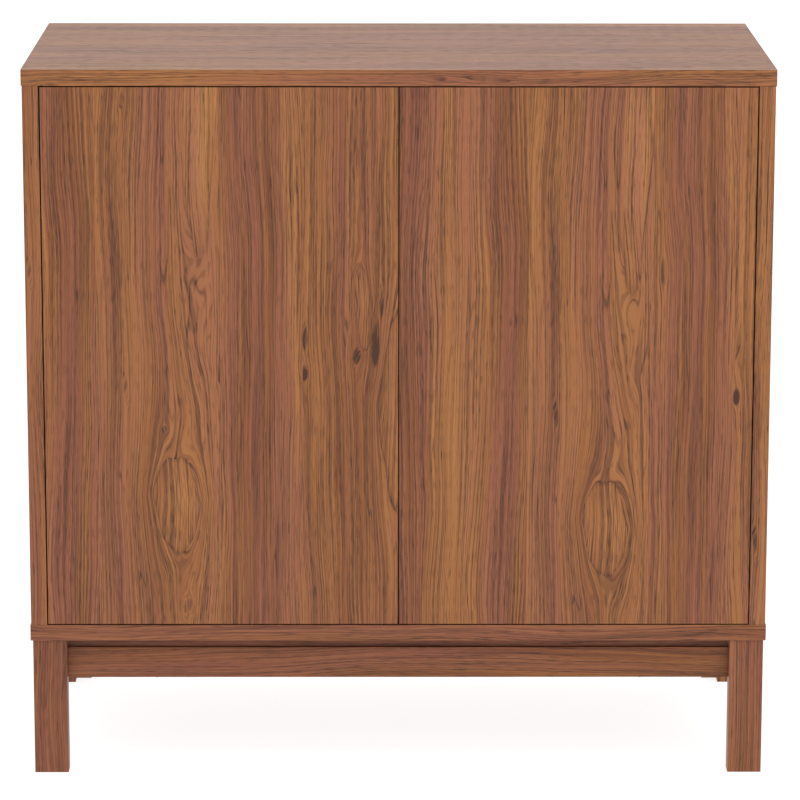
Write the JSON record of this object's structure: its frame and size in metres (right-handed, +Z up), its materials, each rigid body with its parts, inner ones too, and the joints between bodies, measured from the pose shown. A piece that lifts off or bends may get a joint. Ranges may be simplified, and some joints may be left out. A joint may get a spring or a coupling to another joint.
{
  "type": "storage cabinet",
  "caption": "Low storage cabinet with inset push-open doors, shelved compartments inside and a raised base on corner legs.",
  "frame": {"origin": "on the floor, under the middle of the cabinet", "axes": "+Z up, doors facing -Y, +X to the right when facing the doors from the front"},
  "size_m": [0.83, 0.4, 0.805],
  "materials": {
    "wood_laminate": "printed acacia-look laminate with a fine pore emboss, satin",
    "backing_board": "thin fibreboard with a printed matching face, matt",
    "nickel_plated_steel": "stamped and nickel plated, satin",
    "zinc_plated_steel": "zinc plated, dull",
    "blackened_screw_steel": "black oxide, satin",
    "latch_plastic": "moulded grey acetal"
  },
  "bodies": {
    "cabinet": {"top_panel": "wood_laminate", "bottom_panel": "wood_laminate", "left_side_panel": "wood_laminate", "right_side_panel": "wood_laminate", "centre_partition": "wood_laminate", "back_panel": "backing_board", "front_apron": "wood_laminate", "front_batten": "wood_laminate", "front_left_apron_screw": "blackened_screw_steel", "front_right_apron_screw": "blackened_screw_steel", "rear_apron": "wood_laminate", "rear_batten": "wood_laminate", "rear_left_apron_screw": "blackened_screw_steel", "rear_right_apron_screw": "blackened_screw_steel", "left_apron": "wood_laminate", "left_batten": "wood_laminate", "front_left_leg": "wood_laminate", "rear_left_leg": "wood_laminate", "right_apron": "wood_laminate", "right_batten": "wood_laminate", "front_right_leg": "wood_laminate", "rear_right_leg": "wood_laminate", "left_shelf": "wood_laminate", "left_shelf_front_outer_pin": "nickel_plated_steel", "left_shelf_front_inner_pin": "nickel_plated_steel", "left_shelf_rear_outer_pin": "nickel_plated_steel", "left_shelf_rear_inner_pin": "nickel_plated_steel", "left_latch_housing": "latch_plastic", "left_lower_hinge_plate": "nickel_plated_steel", "left_lower_hinge_arm": "nickel_plated_steel", "left_upper_hinge_plate": "nickel_plated_steel", "left_upper_hinge_arm": "nickel_plated_steel", "right_shelf": "wood_laminate", "right_shelf_front_outer_pin": "nickel_plated_steel", "right_shelf_front_inner_pin": "nickel_plated_steel", "right_shelf_rear_outer_pin": "nickel_plated_steel", "right_shelf_rear_inner_pin": "nickel_plated_steel", "right_latch_housing": "latch_plastic", "right_lower_hinge_plate": "nickel_plated_steel", "right_lower_hinge_arm": "nickel_plated_steel", "right_upper_hinge_plate": "nickel_plated_steel", "right_upper_hinge_arm": "nickel_plated_steel"},
    "left_door": {"left_door": "wood_laminate", "left_strike_plate": "zinc_plated_steel", "left_lower_hinge_cup": "nickel_plated_steel", "left_upper_hinge_cup": "nickel_plated_steel"},
    "left_inner_links": {"left_lower_hinge_inner_link": "nickel_plated_steel", "left_upper_hinge_inner_link": "nickel_plated_steel"},
    "left_outer_links": {"left_lower_hinge_outer_link": "nickel_plated_steel", "left_upper_hinge_outer_link": "nickel_plated_steel"},
    "left_latch_plunger": {"left_latch_plunger": "latch_plastic"},
    "right_door": {"right_door": "wood_laminate", "right_strike_plate": "zinc_plated_steel", "right_lower_hinge_cup": "nickel_plated_steel", "right_upper_hinge_cup": "nickel_plated_steel"},
    "right_inner_links": {"right_lower_hinge_inner_link": "nickel_plated_steel", "right_upper_hinge_inner_link": "nickel_plated_steel"},
    "right_outer_links": {"right_lower_hinge_outer_link": "nickel_plated_steel", "right_upper_hinge_outer_link": "nickel_plated_steel"},
    "right_latch_plunger": {"right_latch_plunger": "latch_plastic"}
  },
  "joints": [
    {"name": "left_door_swing", "type": "hinge", "parent": "cabinet", "child": "left_door", "pos_m": [-0.383, -0.195, 0.4805], "axis": [0, 0, -1], "range_deg": [0, 105]},
    {"name": "left_inner_link_turn", "type": "hinge", "parent": "cabinet", "child": "left_inner_links", "pos_m": [-0.3615, -0.19043, 0.4805], "axis": [0, 0, 1], "range_deg": [0, 45.6]},
    {"name": "left_outer_link_turn", "type": "hinge", "parent": "cabinet", "child": "left_outer_links", "pos_m": [-0.3653, -0.17878, 0.4805], "axis": [0, 0, 1], "range_deg": [0, 50.7]},
    {"name": "left_latch_push", "type": "slide", "parent": "cabinet", "child": "left_latch_plunger", "axis": [0, 1, 0], "range_m": [0, 0.003], "stiffness_N_per_m": 700},
    {"name": "right_door_swing", "type": "hinge", "parent": "cabinet", "child": "right_door", "pos_m": [0.383, -0.195, 0.4805], "axis": [0, 0, 1], "range_deg": [0, 105]},
    {"name": "right_inner_link_turn", "type": "hinge", "parent": "cabinet", "child": "right_inner_links", "pos_m": [0.3615, -0.19043, 0.4805], "axis": [0, 0, -1], "range_deg": [0, 45.6]},
    {"name": "right_outer_link_turn", "type": "hinge", "parent": "cabinet", "child": "right_outer_links", "pos_m": [0.3653, -0.17878, 0.4805], "axis": [0, 0, -1], "range_deg": [0, 50.7]},
    {"name": "right_latch_push", "type": "slide", "parent": "cabinet", "child": "right_latch_plunger", "axis": [0, 1, 0], "range_m": [0, 0.003], "stiffness_N_per_m": 700}
  ],
  "couplings": [
    {"joint": "left_inner_link_turn", "follows": "left_door_swing", "ratio": 0.43394},
    {"joint": "left_outer_link_turn", "follows": "left_door_swing", "ratio": 0.48208},
    {"joint": "right_inner_link_turn", "follows": "right_door_swing", "ratio": 0.43394},
    {"joint": "right_outer_link_turn", "follows": "right_door_swing", "ratio": 0.48208}
  ]
}
